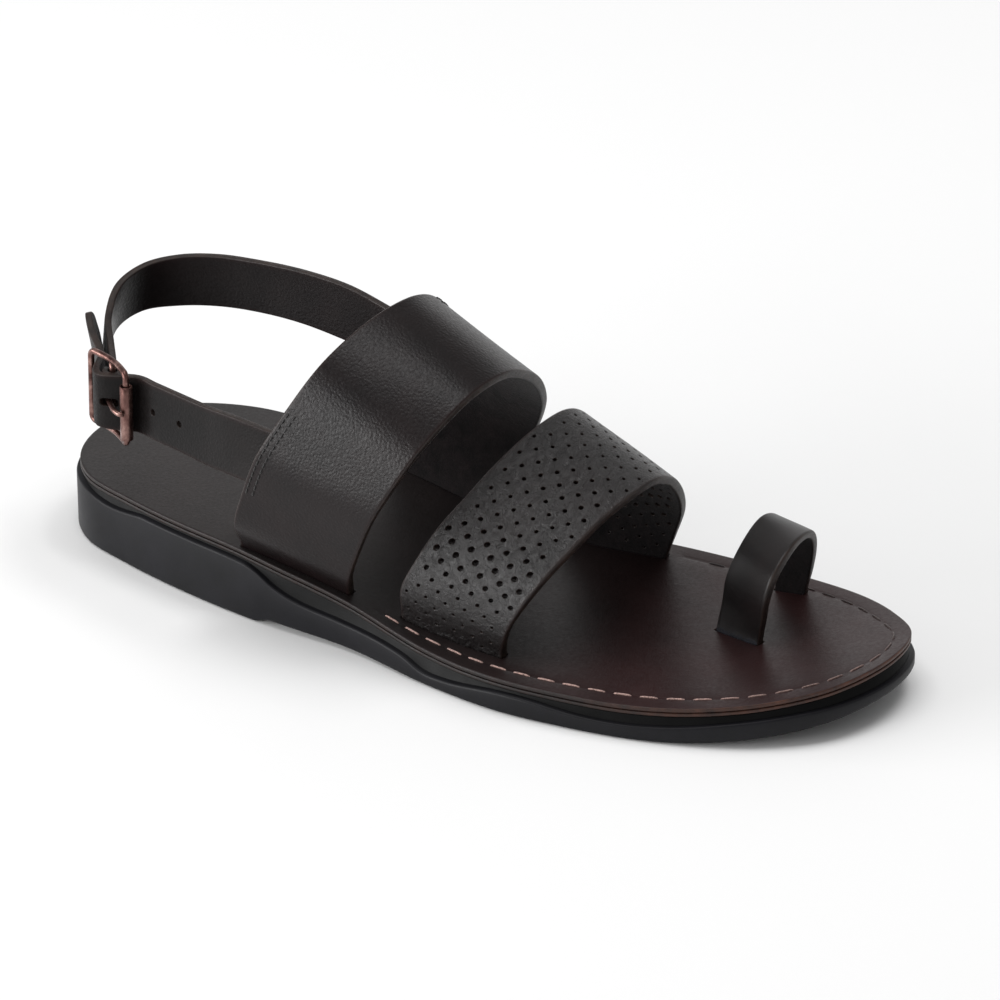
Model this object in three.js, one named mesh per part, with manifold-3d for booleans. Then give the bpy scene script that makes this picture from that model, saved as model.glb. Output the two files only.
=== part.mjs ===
// Leather strap sandal with a toe loop and a buckled heel strap, right foot, in millimetres.
// While it is being shaped, y runs forward from the back of the heel, x towards the outer side of
// the foot and z up from the ground. The finished group is moved so that its box stands centred.
import * as THREE from "three";
import { mergeVertices } from "three/addons/utils/BufferGeometryUtils.js";
import Module from "manifold-3d";

const wasm = await Module();
wasm.setup();

// Driving sizes
const SOLE = {
  heelTop: 22.2,
  foreTop: 10.3,
  rampStart: 70,
  rampEnd: 165,
  toeStart: 205,
  toeRun: 68,
  toeRise: 8.2,
};
const GROUND = {
  breast: 87,
  breastRun: 5,
  arch: 1.9,
  archEnd: 152,
  springStart: 215,
  springRun: 58,
  springRise: 7.8,
};
const LAYER = { footbed: 1.4, midsole: 1.1, seam: 0.2 };
const RUBBER = { waistInset: 0.6, wallOut: 1.2, overlap: 1 };
const LEATHER = { wide: 3.0, loop: 2.6, narrow: 2.2, sewn: 0.3 };
const SLOT = { clearance: 0.25 };
const BUCKLE = {
  wire: 1.0,
  roller: 1.95,
  play: 0.3,
  height: 25.2,
  bow: 1.5,
  corner: 1.8,
  centreAt: 9.8,
  rollerDrop: 1.8,
};
const FOLD = { reach: 9.2, bore: 12 };
const PRONG = { eye: 2.35, eyeHalf: 1.3, eyeBore: 6, pin: 0.85 };

// Edge of the footbed seen from above, anticlockwise from the back of the heel
const OUTLINE = [
  { x: 0, y: 0.3 },
  { x: 17.1, y: 4.8 },
  { x: 28.5, y: 15.7 },
  { x: 35.2, y: 34.7 },
  { x: 41.4, y: 61.5 },
  { x: 45.4, y: 91.3 },
  { x: 46.3, y: 121.1 },
  { x: 51.3, y: 149.1 },
  { x: 53.9, y: 174.7 },
  { x: 52.1, y: 195.9 },
  { x: 48.1, y: 216.4 },
  { x: 41.1, y: 236 },
  { x: 31, y: 253.2 },
  { x: 16.8, y: 266.6 },
  { x: -3, y: 272.9 },
  { x: -20.5, y: 270.1 },
  { x: -32.9, y: 257.9 },
  { x: -41.7, y: 241.9 },
  { x: -46.3, y: 219.9 },
  { x: -45.9, y: 196.1 },
  { x: -43.7, y: 172.2 },
  { x: -38.7, y: 148.1 },
  { x: -34.2, y: 120 },
  { x: -34, y: 92 },
  { x: -36.6, y: 62 },
  { x: -36.3, y: 34.5 },
  { x: -28.2, y: 15.3 },
  { x: -16.3, y: 4.6 },
];

// Height of the ledge that runs round the rubber, along the foot
const LEDGE = [
  { y: -4, z: 18.4 },
  { y: 12, z: 18 },
  { y: 28, z: 16.9 },
  { y: 46, z: 19.3 },
  { y: 76, z: 19 },
  { y: 86, z: 17.4 },
  { y: 94, z: 13.5 },
  { y: 102, z: 11 },
  { y: 118, z: 9 },
  { y: 134, z: 7.7 },
  { y: 142, z: 6.4 },
  { y: 149, z: 4 },
  { y: 158, z: 4 },
  { y: 174, z: 6.1 },
  { y: 184, z: 6.3 },
  { y: 200, z: 4.8 },
  { y: 214, z: 4.5 },
  { y: 230, z: 5.7 },
  { y: 246, z: 8.1 },
  { y: 262, z: 10.4 },
  { y: 278, z: 12 },
];

// Outer face of each wide strap, from its outer foot over the top to its inner foot.
// Every row is one straight line across the leather, from its rear edge to its front edge.
const INSTEP = [
  { rearX: 42.1, rearY: 80, rearZ: 17.4, frontX: 42.3, frontY: 118.1, frontZ: 11.6 },
  { rearX: 43, rearY: 80.3, rearZ: 23, frontX: 43.1, frontY: 118.4, frontZ: 17.4 },
  { rearX: 49.6, rearY: 82.4, rearZ: 32.6, frontX: 46.6, frontY: 120.8, frontZ: 24 },
  { rearX: 51, rearY: 86.5, rearZ: 45, frontX: 50, frontY: 126.8, frontZ: 37.5 },
  { rearX: 51, rearY: 92, rearZ: 59, frontX: 50.9, frontY: 132.5, frontZ: 49.5 },
  { rearX: 45.9, rearY: 99.1, rearZ: 73, frontX: 47.5, frontY: 138.8, frontZ: 61.8 },
  { rearX: 37.6, rearY: 107, rearZ: 87.4, frontX: 40.3, frontY: 145, frontZ: 73.3 },
  { rearX: 23, rearY: 112.7, rearZ: 95.6, frontX: 27, frontY: 150.4, frontZ: 82.8 },
  { rearX: 5, rearY: 116, rearZ: 97, frontX: 10, frontY: 151.8, frontZ: 83.2 },
  { rearX: -12, rearY: 114, rearZ: 89.5, frontX: -8.6, frontY: 149.2, frontZ: 75 },
  { rearX: -25.5, rearY: 107.5, rearZ: 76, frontX: -22, frontY: 145.5, frontZ: 65 },
  { rearX: -34, rearY: 99, rearZ: 57, frontX: -32.5, frontY: 140, frontZ: 52 },
  { rearX: -36, rearY: 92.5, rearZ: 40, frontX: -36.5, frontY: 133, frontZ: 38 },
  { rearX: -30, rearY: 88.5, rearZ: 24, frontX: -29.5, frontY: 123.5, frontZ: 20.5 },
  { rearX: -29, rearY: 88, rearZ: 16.4, frontX: -28.5, frontY: 122.5, frontZ: 10.8 },
];
const VAMP = [
  { rearX: 41, rearY: 135, rearZ: 8.6, frontX: 42.2, frontY: 170.4, frontZ: 5.8 },
  { rearX: 41.9, rearY: 135.4, rearZ: 14.5, frontX: 43.2, frontY: 170.8, frontZ: 11.2 },
  { rearX: 44, rearY: 136.5, rearZ: 24, frontX: 46.5, frontY: 174, frontZ: 20.5 },
  { rearX: 43, rearY: 140, rearZ: 32.3, frontX: 46.8, frontY: 177.7, frontZ: 28.3 },
  { rearX: 37.5, rearY: 145.3, rearZ: 43.5, frontX: 43, frontY: 182.8, frontZ: 37.5 },
  { rearX: 31, rearY: 149.5, rearZ: 50.7, frontX: 36.6, frontY: 187.1, frontZ: 44.8 },
  { rearX: 20.5, rearY: 155.3, rearZ: 60.5, frontX: 26.6, frontY: 192, frontZ: 52.2 },
  { rearX: 8, rearY: 160.8, rearZ: 68, frontX: 14, frontY: 196.2, frontZ: 57.3 },
  { rearX: -3, rearY: 163.5, rearZ: 69.5, frontX: 2.5, frontY: 197.8, frontZ: 58 },
  { rearX: -14, rearY: 163.3, rearZ: 64, frontX: -10, frontY: 196.5, frontZ: 52.5 },
  { rearX: -25, rearY: 160, rearZ: 52, frontX: -23.9, frontY: 192.4, frontZ: 40.8 },
  { rearX: -32, rearY: 155, rearZ: 38, frontX: -32.5, frontY: 188, frontZ: 30 },
  { rearX: -34.5, rearY: 150, rearZ: 25, frontX: -37.3, frontY: 182.5, frontZ: 18.5 },
  { rearX: -32.5, rearY: 146.5, rearZ: 13.4, frontX: -38, frontY: 179.6, frontZ: 11 },
  { rearX: -32, rearY: 146, rearZ: 6.9, frontX: -37.4, frontY: 179, frontZ: 5.8 },
];
const TOE_LOOP = [
  { rearX: -3.2, rearY: 214.6, rearZ: 6, frontX: 0.5, frontY: 230.2, frontZ: 6.9 },
  { rearX: -4.2, rearY: 214.6, rearZ: 11.4, frontX: -0.8, frontY: 230.6, frontZ: 12.2 },
  { rearX: -5.3, rearY: 215.4, rearZ: 19, frontX: 0.3, frontY: 232, frontZ: 19 },
  { rearX: -6, rearY: 216.2, rearZ: 27, frontX: 1, frontY: 233.5, frontZ: 27.5 },
  { rearX: -9.5, rearY: 217.4, rearZ: 34, frontX: -2, frontY: 235, frontZ: 36 },
  { rearX: -15, rearY: 218.4, rearZ: 39.2, frontX: -9.5, frontY: 235.6, frontZ: 40.6 },
  { rearX: -21.5, rearY: 219.2, rearZ: 41.5, frontX: -18, frontY: 235.2, frontZ: 41 },
  { rearX: -28.5, rearY: 219.4, rearZ: 39.3, frontX: -25.4, frontY: 234.2, frontZ: 38.8 },
  { rearX: -34, rearY: 219, rearZ: 33.4, frontX: -31.2, frontY: 232.7, frontZ: 34 },
  { rearX: -36.8, rearY: 218.4, rearZ: 25.5, frontX: -34.8, frontY: 231, frontZ: 27.4 },
  { rearX: -37.4, rearY: 217.6, rearZ: 17.5, frontX: -37, frontY: 228.8, frontZ: 19.5 },
  { rearX: -36.8, rearY: 217, rearZ: 11.2, frontX: -38, frontY: 226.6, frontZ: 11.8 },
  { rearX: -36.6, rearY: 216.8, rearZ: 6, frontX: -38, frontY: 226.2, frontZ: 6.6 },
];

// Middle line of the narrow straps with half of their width; the lean is how far the upper edge
// stands out sideways from the middle.
const HEEL_STRAP = [
  { x: -32.3, y: 84, z: 61.9, half: 9, leanX: 0.6, leanY: 0 },
  { x: -32.6, y: 70, z: 64.6, half: 9.2, leanX: 0, leanY: 0 },
  { x: -32.8, y: 54, z: 65.9, half: 8.9, leanX: 0.2, leanY: 0 },
  { x: -32.6, y: 38, z: 65.6, half: 8.8, leanX: 0.7, leanY: 0 },
  { x: -30.6, y: 24, z: 65, half: 8.8, leanX: 0.8, leanY: 0.1 },
  { x: -26, y: 12.8, z: 64.1, half: 8.7, leanX: 0.7, leanY: 0.7 },
  { x: -18.5, y: 4.6, z: 62.8, half: 8.3, leanX: 0.6, leanY: 1.4 },
  { x: -8.5, y: 1.7, z: 59.8, half: 8, leanX: 0, leanY: 1.3 },
  { x: 4.2, y: 6.5, z: 54.4, half: 8.5, leanX: -0.5, leanY: 0.7 },
  { x: 14, y: 14.6, z: 52.2, half: 8.8, leanX: -0.2, leanY: 0.3 },
  { x: 24, y: 22.8, z: 52.2, half: 8.9, leanX: 0, leanY: 0 },
  { x: 28.7, y: 26.2, z: 52.3, half: 8.9, leanX: 0, leanY: 0 },
];
const BILLET = [
  { x: 43.5, y: 78, z: 55.2, half: 9.4, leanX: -0.6, leanY: 0 },
  { x: 40.6, y: 68, z: 54.2, half: 9.4, leanX: -0.3, leanY: 0 },
  { x: 37.6, y: 56, z: 54.1, half: 9.3, leanX: 0, leanY: 0 },
  { x: 35.2, y: 46, z: 53.9, half: 9.3, leanX: 0, leanY: 0 },
  { x: 32.2, y: 37.5, z: 53.1, half: 9.2, leanX: 0, leanY: 0 },
  { x: 35, y: 25.1, z: 52.8, half: 8.8, leanX: 0, leanY: 0 },
  { x: 24.6, y: 19.1, z: 53.5, half: 8.7, leanX: 0.1, leanY: 0 },
  { x: 16.3, y: 11.3, z: 56.4, half: 8.8, leanX: 1, leanY: -0.9 },
  { x: 11.3, y: 7.3, z: 60.1, half: 7.4, leanX: 1.2, leanY: -1.2 },
  { x: 9, y: 5.5, z: 62.1, half: 4.6, leanX: 0.8, leanY: -0.8 },
];
const HOLES = { radius: 1.1, depth: 5, at: [0.41, 0.503, 0.75] };

// Where the narrow straps are sewn under the instep strap: the stretch of its arch to look on, the
// heights of the sewn end's two edges, and how far across it from its rear edge the rows lie
const TABS = {
  inner: { fromT: 0.56, toT: 0.95, low: 52.6, high: 70.6, across: [0.36, 0.2, 0.03] },
  outer: { fromT: 0.1, toT: 0.5, low: 46.4, high: 65.6, across: [0.36, 0.2, 0.04] },
};

// Where the buckle's rear and front bars stand
const BARS = { rear: { x: 27.85, y: 17.6, z: 52.6 }, front: { x: 36, y: 35.8, z: 52.2 } };

// The prong's pin from its eye to its tip: along from the bar named, high from the buckle's middle,
// out from the plane of its bars
const PIN = [
  { from: "centre", along: 0.4, high: 0, out: 0.6 },
  { from: "centre", along: 3, high: 0, out: 1.5 },
  { from: "centre", along: 6, high: 0, out: 2.6 },
  { from: "front", along: -1.4, high: 0, out: 3.3 },
  { from: "front", along: 0.6, high: -0.2, out: 3.1 },
  { from: "front", along: 2.2, high: -0.3, out: 2.2 },
];

// Height of the footbed's top along the foot
function footbedTop(y) {
  const t = THREE.MathUtils.smoothstep(y, SOLE.rampStart, SOLE.rampEnd);
  const toe = Math.max(0, (y - SOLE.toeStart) / SOLE.toeRun);
  return SOLE.heelTop + (SOLE.foreTop - SOLE.heelTop) * t + SOLE.toeRise * toe * toe;
}

// Height of the tread: flat heel, lifted arch, flat forefoot, sprung toe
function treadHeight(y) {
  const rise = THREE.MathUtils.clamp((y - GROUND.breast) / GROUND.breastRun, 0, 1);
  const archRun = GROUND.archEnd - GROUND.breast - GROUND.breastRun;
  const fall = THREE.MathUtils.clamp((GROUND.archEnd - y) / archRun, 0, 1);
  const toe = Math.max(0, (y - GROUND.springStart) / GROUND.springRun);
  return GROUND.arch * Math.min(rise, fall) + GROUND.springRise * toe * toe;
}

function ledgeHeight(y) {
  const last = LEDGE.length - 1;
  const at = THREE.MathUtils.clamp(y, LEDGE[0].y, LEDGE[last].y);
  const i = Math.max(0, Math.min(last - 1, LEDGE.findIndex((row) => row.y >= at) - 1));
  const t = (at - LEDGE[i].y) / (LEDGE[i + 1].y - LEDGE[i].y);
  return LEDGE[i].z + (LEDGE[i + 1].z - LEDGE[i].z) * t;
}

function toSolid(geometry) {
  const bare = geometry.clone();
  bare.deleteAttribute("normal");
  bare.deleteAttribute("uv");
  const merged = mergeVertices(bare, 1e-4);
  const vertProperties = new Float32Array(merged.attributes.position.array);
  const triVerts = new Uint32Array(merged.index.array);
  return new wasm.Manifold(new wasm.Mesh({ numProp: 3, vertProperties, triVerts }));
}

function toGeometry(solid) {
  const mesh = solid.getMesh();
  const geometry = new THREE.BufferGeometry();
  const positions = new Float32Array(mesh.vertProperties);
  geometry.setAttribute("position", new THREE.BufferAttribute(positions, 3));
  geometry.setIndex(new THREE.BufferAttribute(new Uint32Array(mesh.triVerts), 1));
  geometry.computeVertexNormals();
  return geometry;
}

function union(...solids) {
  return solids.reduce((sum, solid) => sum.add(solid));
}

// The sole's outline pushed outwards by an offset
function outlineRing(offset, count = 84) {
  const points = OUTLINE.map((row) => new THREE.Vector3(row.x, row.y, 0));
  const curve = new THREE.CatmullRomCurve3(points, true, "centripetal");
  const ring = [];
  for (let i = 0; i < count; i += 1) {
    const point = curve.getPointAt(i / count);
    const tangent = curve.getTangentAt(i / count);
    ring.push(new THREE.Vector2(point.x + tangent.y * offset, point.y - tangent.x * offset));
  }
  return ring;
}

function prism(ring, low, high) {
  const options = { depth: high - low, bevelEnabled: false };
  const geometry = new THREE.ExtrudeGeometry(new THREE.Shape(ring), options);
  geometry.translate(0, 0, low);
  return toSolid(geometry);
}

// A body as wide as the room between two heights that change along the foot
function slab(low, high, count = 56) {
  const from = -8;
  const to = 282;
  const stations = Array.from({ length: count + 1 }, (_, i) => from + ((to - from) * i) / count);
  const profile = [
    ...stations.map((y) => new THREE.Vector2(y, low(y))),
    ...stations.reverse().map((y) => new THREE.Vector2(y, high(y))),
  ];
  const width = 160;
  const shape = new THREE.Shape(profile);
  const geometry = new THREE.ExtrudeGeometry(shape, { depth: width, bevelEnabled: false });
  geometry.translate(0, 0, -width / 2);
  const across = new THREE.Vector3(1, 0, 0);
  const along = new THREE.Vector3(0, 1, 0);
  const up = new THREE.Vector3(0, 0, 1);
  geometry.applyMatrix4(new THREE.Matrix4().makeBasis(along, up, across));
  return toSolid(geometry);
}

function soleLayer(offset, low, high, count) {
  const past = { low: -20, high: 60 };
  return prism(outlineRing(offset), past.low, past.high).intersect(slab(low, high, count));
}

// Skins a row of rings that all have the same number of points
function skin(rings, closed = false) {
  const size = rings[0].length;
  const positions = rings.flat().flatMap((p) => [p.x, p.y, p.z]);
  const index = [];
  const quad = (a, b, c, d) => index.push(a, b, c, a, c, d);
  const spans = closed ? rings.length : rings.length - 1;
  for (let i = 0; i < spans; i += 1) {
    const next = (i + 1) % rings.length;
    for (let j = 0; j < size; j += 1) {
      const k = (j + 1) % size;
      quad(i * size + j, i * size + k, next * size + k, next * size + j);
    }
  }
  if (!closed) {
    const last = (rings.length - 1) * size;
    for (let j = 0; j < size / 2 - 1; j += 1) {
      quad(j, size - 1 - j, size - 2 - j, j + 1);
      quad(last + j, last + j + 1, last + size - 2 - j, last + size - 1 - j);
    }
  }
  let volume = 0;
  const corner = (n) => new THREE.Vector3().fromArray(positions, 3 * n);
  for (let n = 0; n < index.length; n += 3) {
    volume += corner(index[n]).dot(corner(index[n + 1]).cross(corner(index[n + 2])));
  }
  if (volume < 0) index.reverse();
  const geometry = new THREE.BufferGeometry();
  geometry.setAttribute("position", new THREE.Float32BufferAttribute(positions, 3));
  geometry.setIndex(index);
  return toSolid(geometry);
}

// Two edge curves through rows of points, read off together
function curveEdges(low, high) {
  const lowCurve = new THREE.CatmullRomCurve3(low, false, "centripetal");
  const highCurve = new THREE.CatmullRomCurve3(high, false, "centripetal");
  return (t) => ({ low: lowCurve.getPoint(t), high: highCurve.getPoint(t) });
}

function wideEdges(rows) {
  const rear = rows.map((row) => new THREE.Vector3(row.rearX, row.rearY, row.rearZ));
  const front = rows.map((row) => new THREE.Vector3(row.frontX, row.frontY, row.frontZ));
  return curveEdges(rear, front);
}

// A narrow strap's edges, from its sewn end over the rows of its table
function narrowEdges(tab, rows) {
  const edge = (side) =>
    rows.map((r) => new THREE.Vector3(r.x + side * r.leanX, r.y + side * r.leanY, r.z + side * r.half));
  return curveEdges([...tab.low, ...edge(-1)], [...tab.high, ...edge(1)]);
}

// The outward direction of a strap where it lies at t
function facing(edges, t) {
  const step = 0.004;
  const before = edges(Math.max(0, t - step));
  const after = edges(Math.min(1, t + step));
  const along = after.low.add(after.high).sub(before.low).sub(before.high);
  const here = edges(t);
  return here.high.sub(here.low).cross(along).normalize();
}

// A strip of leather between two edges, from `outer` above the drawn face to `inner` below it
function strip(edges, { outer, inner, steps, across = 2, margin = 0 }) {
  const rings = [];
  for (let i = 0; i <= steps; i += 1) {
    const t = i / steps;
    const { low, high } = edges(t);
    const normal = facing(edges, t);
    const wide = high.clone().sub(low).normalize().multiplyScalar(margin);
    const from = low.clone().sub(wide);
    const to = high.clone().add(wide);
    const row = (offset) =>
      Array.from({ length: across + 1 }, (_, j) => {
        const point = from.clone().lerp(to, j / across);
        return point.addScaledVector(normal, offset);
      });
    rings.push([...row(outer), ...row(-inner).reverse()]);
  }
  return skin(rings);
}

// The point of a wide strap at a height, on one half of its arch, sunk below its outer face
function seat(edges, { height, across, depth, fromT, toT }) {
  const steps = 160;
  let best = null;
  for (let i = 0; i <= steps; i += 1) {
    const t = fromT + ((toT - fromT) * i) / steps;
    const { low, high } = edges(t);
    const point = low.lerp(high, across);
    const miss = Math.abs(point.z - height);
    if (!best || miss < best.miss) best = { miss, point, t };
  }
  return best.point.addScaledVector(facing(edges, best.t), -depth);
}

// A round bar along a row of points
function bar(points, radius, sides = 10, closed = false) {
  const rings = points.map((point, i) => {
    const last = points.length - 1;
    const before = points[i === 0 ? (closed ? last : 0) : i - 1];
    const after = points[i === last ? (closed ? 0 : last) : i + 1];
    const along = after.clone().sub(before).normalize();
    const side = new THREE.Vector3().crossVectors(along, FRAME.out).normalize();
    const out = new THREE.Vector3().crossVectors(side, along).normalize();
    return Array.from({ length: sides }, (_, j) => {
      const angle = (2 * Math.PI * (j + 0.5)) / sides;
      const offset = side.clone().multiplyScalar(radius * Math.cos(angle));
      return offset.addScaledVector(out, radius * Math.sin(angle)).add(point);
    });
  });
  return skin(rings, closed);
}

// The buckle's own directions: forward along it, up its bars, out of the foot
function buckleFrame() {
  const rear = new THREE.Vector3(BARS.rear.x, BARS.rear.y, BARS.rear.z);
  const front = new THREE.Vector3(BARS.front.x, BARS.front.y, BARS.front.z);
  const run = front.clone().sub(rear);
  const length = run.length();
  const forward = run.normalize();
  const up = new THREE.Vector3(0, 0, 1).addScaledVector(forward, -forward.z).normalize();
  const out = forward.clone().cross(up).normalize();
  const at = (along, high, outwards = 0) =>
    rear
      .clone()
      .addScaledVector(forward, along)
      .addScaledVector(up, high)
      .addScaledVector(out, outwards);
  return { forward, up, out, length, at };
}

const FRAME = buckleFrame();

// How far the buckle's rails bow towards the foot at a place along them
function bowAt(along) {
  const share = THREE.MathUtils.clamp(along / FRAME.length, 0, 1);
  return -BUCKLE.bow * Math.sin(Math.PI * share);
}

function makeSole() {
  const seam = LAYER.seam;
  const underFootbed = (y) => footbedTop(y) - LAYER.footbed;
  const overMidsole = (y) => underFootbed(y) - seam;
  const underMidsole = (y) => overMidsole(y) - LAYER.midsole;
  const rubberTop = (y) => underMidsole(y) - seam;
  const ledge = (y) => Math.min(ledgeHeight(y), rubberTop(y));
  const wall = soleLayer(RUBBER.wallOut, treadHeight, ledge, 84);
  const waist = soleLayer(-RUBBER.waistInset, (y) => ledge(y) - RUBBER.overlap, rubberTop, 84);
  return {
    footbed: soleLayer(0, underFootbed, footbedTop),
    midsole: soleLayer(0, underMidsole, overMidsole),
    outsole: union(wall, waist),
  };
}

// A strap's own body, and the slightly larger one that cuts its slots
function wideStrap(rows, thickness, steps) {
  const edges = wideEdges(rows);
  const play = SLOT.clearance;
  const deeper = rows.map((row, i) =>
    i === 0 || i === rows.length - 1
      ? { ...row, rearZ: row.rearZ - play, frontZ: row.frontZ - play }
      : row,
  );
  const body = strip(edges, { outer: 0, inner: thickness, steps });
  const room = { outer: play, inner: thickness + play, steps, margin: play };
  const cutter = strip(wideEdges(deeper), room);
  return { edges, body, cutter };
}

// A narrow strap, its end sewn to the inside of the instep strap
function narrowStrap(instep, tab, rows) {
  const depth = LEATHER.wide + LEATHER.narrow / 2 - LEATHER.sewn;
  const sewn = (height) => tab.across.map((across) => seat(instep, { ...tab, height, across, depth }));
  const edges = narrowEdges({ low: sewn(tab.low), high: sewn(tab.high) }, rows);
  const half = LEATHER.narrow / 2;
  return { edges, body: strip(edges, { outer: half, inner: half, steps: 64 }) };
}

// A round bar as long as the reach each way along the buckle's middle bar
function middleBar(reach, radius, sides) {
  const along = BUCKLE.centreAt;
  return bar([-reach, reach].map((high) => FRAME.at(along, high, bowAt(along))), radius, sides);
}

// The heel strap's end lies folded round the buckle's middle bar
function makeFold() {
  const hole = BUCKLE.wire + BUCKLE.play;
  const sides = 16;
  return {
    outer: middleBar(FOLD.reach, hole + LEATHER.narrow, sides),
    bore: middleBar(FOLD.bore, hole, sides),
  };
}

function makeBuckle() {
  const { length, at } = FRAME;
  const halfHeight = BUCKLE.height / 2 - BUCKLE.wire;
  const corner = BUCKLE.corner;
  const loop = [];
  const cornerSteps = 4;
  const railSteps = 5;
  const arc = (centreAlong, centreHigh, start) => {
    for (let i = 0; i <= cornerSteps; i += 1) {
      const angle = start + (Math.PI / 2) * (i / cornerSteps);
      const along = centreAlong + corner * Math.cos(angle);
      loop.push(at(along, centreHigh + corner * Math.sin(angle), bowAt(along)));
    }
  };
  const rail = (from, to, high) => {
    for (let i = 1; i < railSteps; i += 1) {
      const along = from + ((to - from) * i) / railSteps;
      loop.push(at(along, high, bowAt(along)));
    }
  };
  arc(length - corner, -halfHeight + corner, -Math.PI / 2);
  arc(length - corner, halfHeight - corner, 0);
  rail(length - corner, corner, halfHeight);
  arc(corner, halfHeight - corner, Math.PI / 2);
  arc(corner, -halfHeight + corner, Math.PI);
  rail(corner, length - corner, -halfHeight);
  const frame = union(bar(loop, BUCKLE.wire, 10, true), middleBar(halfHeight, BUCKLE.wire, 10));

  const reach = halfHeight - corner;
  const tube = [-reach, reach - BUCKLE.rollerDrop].map((high) => at(length, high));
  const hollow = [-halfHeight, halfHeight].map((high) => at(length, high));
  const roller = bar(tube, BUCKLE.roller, 18).subtract(bar(hollow, BUCKLE.wire + BUCKLE.play, 18));
  return { frame, roller };
}

// The prong: an eye round the middle bar and a pin that rests on the roller
function makeProng() {
  const start = { centre: BUCKLE.centreAt, front: FRAME.length };
  const path = PIN.map((row) => FRAME.at(start[row.from] + row.along, row.high, row.out));
  const back = path[0].clone().sub(path[1]).normalize();
  const pin = (grow) =>
    bar([path[0].clone().addScaledVector(back, grow), ...path.slice(1)], PRONG.pin + grow, 10);
  const eye = (grow) => middleBar(PRONG.eyeHalf + grow, PRONG.eye + grow, 16);
  const body = union(eye(0), pin(0)).subtract(middleBar(PRONG.eyeBore, BUCKLE.wire + BUCKLE.play, 16));
  return { body, cutter: union(eye(SLOT.clearance), pin(SLOT.clearance)) };
}

// The billet's round holes, square to its face
function billetHoles(edges) {
  const drills = HOLES.at.map((t) => {
    const { low, high } = edges(t);
    const middle = low.add(high).multiplyScalar(0.5);
    const drill = new THREE.CylinderGeometry(HOLES.radius, HOLES.radius, HOLES.depth, 12);
    drill.rotateX(Math.PI / 2);
    drill.lookAt(facing(edges, t));
    drill.translate(middle.x, middle.y, middle.z);
    return toSolid(drill);
  });
  return union(...drills);
}

const sole = makeSole();
const instep = wideStrap(INSTEP, LEATHER.wide, 56);
const vamp = wideStrap(VAMP, LEATHER.wide, 52);
const toeLoop = wideStrap(TOE_LOOP, LEATHER.loop, 40);
const heelStrap = narrowStrap(instep.edges, TABS.inner, HEEL_STRAP);
const billet = narrowStrap(instep.edges, TABS.outer, BILLET);
const fold = makeFold();
const buckle = makeBuckle();
const prong = makeProng();

const foldedStrap = union(instep.body, heelStrap.body, fold.outer).subtract(fold.bore);
const punchedBillet = billet.body.subtract(billetHoles(billet.edges));
const upper = union(foldedStrap, punchedBillet).subtract(prong.cutter);

const cutters = [instep.cutter, vamp.cutter, toeLoop.cutter];
const slotted = (solid) => cutters.reduce((rest, cutter) => rest.subtract(cutter), solid);

const LOOKS = {
  rubber: { color: 0x1d1d20, roughness: 0.55, metalness: 0 },
  leather: { color: 0x2a1b18, roughness: 0.38, metalness: 0 },
  edge: { color: 0x2c1a14, roughness: 0.6, metalness: 0 },
  footbed: { color: 0x2c1a19, roughness: 0.45, metalness: 0 },
  bronze: { color: 0x8a5f50, roughness: 0.35, metalness: 0.9 },
};

const parts = [
  { name: "outsole", solid: slotted(sole.outsole), look: LOOKS.rubber },
  { name: "midsole", solid: slotted(sole.midsole), look: LOOKS.edge },
  { name: "footbed", solid: slotted(sole.footbed), look: LOOKS.footbed },
  { name: "upper_instep_and_heel", solid: upper, look: LOOKS.leather },
  { name: "upper_vamp_strap", solid: vamp.body, look: LOOKS.leather },
  { name: "upper_toe_loop", solid: toeLoop.body, look: LOOKS.leather },
  { name: "buckle_frame", solid: buckle.frame, look: LOOKS.bronze },
  { name: "buckle_roller", solid: buckle.roller, look: LOOKS.bronze },
  { name: "buckle_prong", solid: prong.body, look: LOOKS.bronze },
];

const group = new THREE.Group();
group.name = "strap_sandal";
const box = new THREE.Box3();
for (const { name, solid, look } of parts) {
  const mesh = new THREE.Mesh(toGeometry(solid), new THREE.MeshStandardMaterial(look));
  mesh.name = name;
  mesh.geometry.computeBoundingBox();
  box.union(mesh.geometry.boundingBox);
  group.add(mesh);
}
const centre = box.getCenter(new THREE.Vector3());
for (const mesh of group.children) {
  mesh.geometry.translate(-centre.x, -centre.y, -box.min.z);
}

export default group;
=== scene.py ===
"""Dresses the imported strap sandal: leather, rubber, thread and bronze, then camera, floor and light.

Tables are in millimetres, measured like the part itself while it is shaped: y runs forward from the
back of the heel, x towards the outer side of the right foot and z up from the ground.
"""

import math

import bpy
import numpy as np
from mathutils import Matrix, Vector
from mathutils.geometry import delaunay_2d_cdt


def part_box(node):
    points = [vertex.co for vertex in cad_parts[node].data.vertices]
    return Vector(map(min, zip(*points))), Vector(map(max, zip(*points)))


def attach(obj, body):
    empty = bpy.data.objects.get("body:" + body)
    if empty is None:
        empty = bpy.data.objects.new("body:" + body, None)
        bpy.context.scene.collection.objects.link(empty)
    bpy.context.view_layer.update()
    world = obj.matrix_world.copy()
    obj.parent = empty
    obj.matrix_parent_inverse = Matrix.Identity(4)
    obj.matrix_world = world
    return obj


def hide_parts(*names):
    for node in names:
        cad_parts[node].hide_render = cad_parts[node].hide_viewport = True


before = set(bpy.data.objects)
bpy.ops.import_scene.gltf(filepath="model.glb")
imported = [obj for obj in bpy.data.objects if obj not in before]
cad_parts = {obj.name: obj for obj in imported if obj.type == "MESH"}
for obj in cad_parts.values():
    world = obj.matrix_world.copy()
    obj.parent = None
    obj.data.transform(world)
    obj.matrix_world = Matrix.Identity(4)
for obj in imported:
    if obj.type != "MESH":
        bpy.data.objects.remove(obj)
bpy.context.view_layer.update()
rng = np.random.default_rng(11)

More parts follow.
